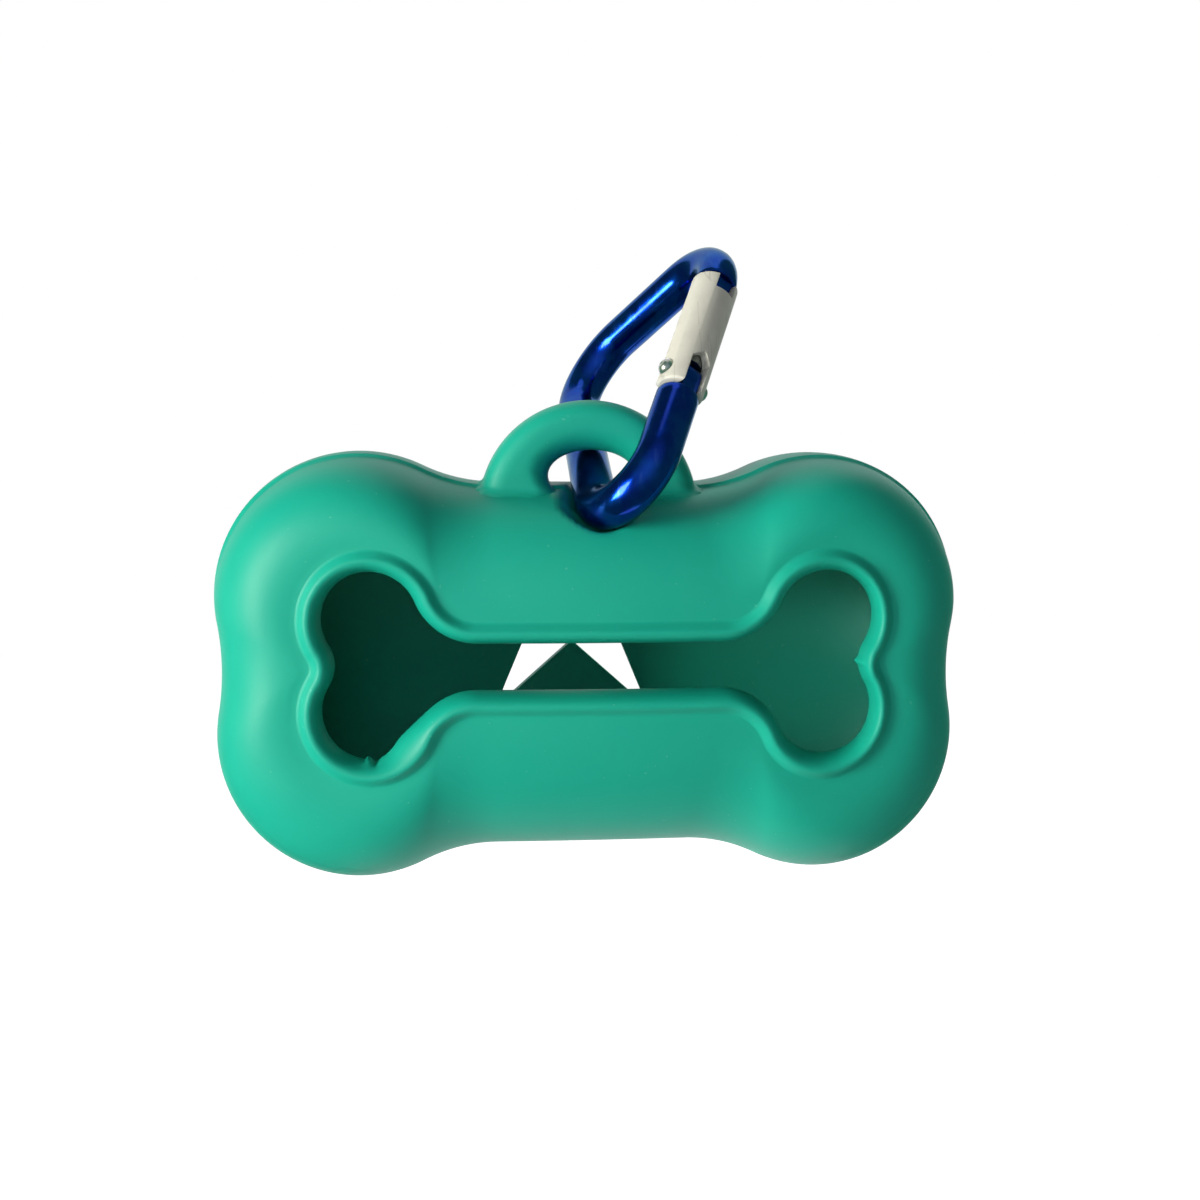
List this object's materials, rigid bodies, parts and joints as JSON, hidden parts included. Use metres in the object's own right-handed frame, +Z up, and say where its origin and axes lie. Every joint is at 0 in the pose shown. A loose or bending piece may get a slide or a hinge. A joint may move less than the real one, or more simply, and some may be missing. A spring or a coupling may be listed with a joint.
{
  "type": "dog poop bag dispenser",
  "caption": "Soft bone-shaped holder for a roll of waste bags, with a front pull slot, a star-shaped opening in the back and a top loop that hangs from a small carabiner.",
  "frame": {"origin": "the seat inside the top bend of the carabiner, where a leash ring lies", "axes": "+X along the holder's width, +Y through its depth from the slotted front to the star-shaped opening in the back, +Z up as it hangs"},
  "size_m": [0.088, 0.0379, 0.0751],
  "materials": {
    "silicone": "satin moulded silicone",
    "anodised_blue": "bright blue anodised",
    "satin_gate": "satin",
    "steel_pin": "polished",
    "spring_steel": "plain"
  },
  "bodies": {
    "carabiner": {"carabiner_frame": "anodised_blue", "gate_pivot_pin": "steel_pin"},
    "dispenser": {"dispenser_body": "silicone"},
    "gate": {"carabiner_gate": "satin_gate", "gate_spring": "spring_steel"},
    "plunger": {"spring_plunger": "spring_steel"}
  },
  "joints": [
    {"name": "dispenser_swing", "type": "hinge", "parent": "carabiner", "child": "dispenser", "pos_m": [-0.01361, -0.00922, -0.02333], "axis": [0, 1, 0], "range_deg": [-20, 20]},
    {"name": "gate_hinge", "type": "hinge", "parent": "carabiner", "child": "gate", "pos_m": [-0.00361, -0.01426, -0.01195], "axis": [-0.7793, -0.275, 0.5631], "range_deg": [0, 35], "stiffness_Nm_per_rad": 0.003, "springref_deg": -40.11},
    {"name": "plunger_slide", "type": "slide", "parent": "gate", "child": "plunger", "axis": [0.3342, 0.5778, 0.7446], "range_m": [0, 0.00071]}
  ],
  "couplings": [
    {"joint": "plunger_slide", "follows": "gate_hinge", "m_per_rad": 0.001146}
  ]
}
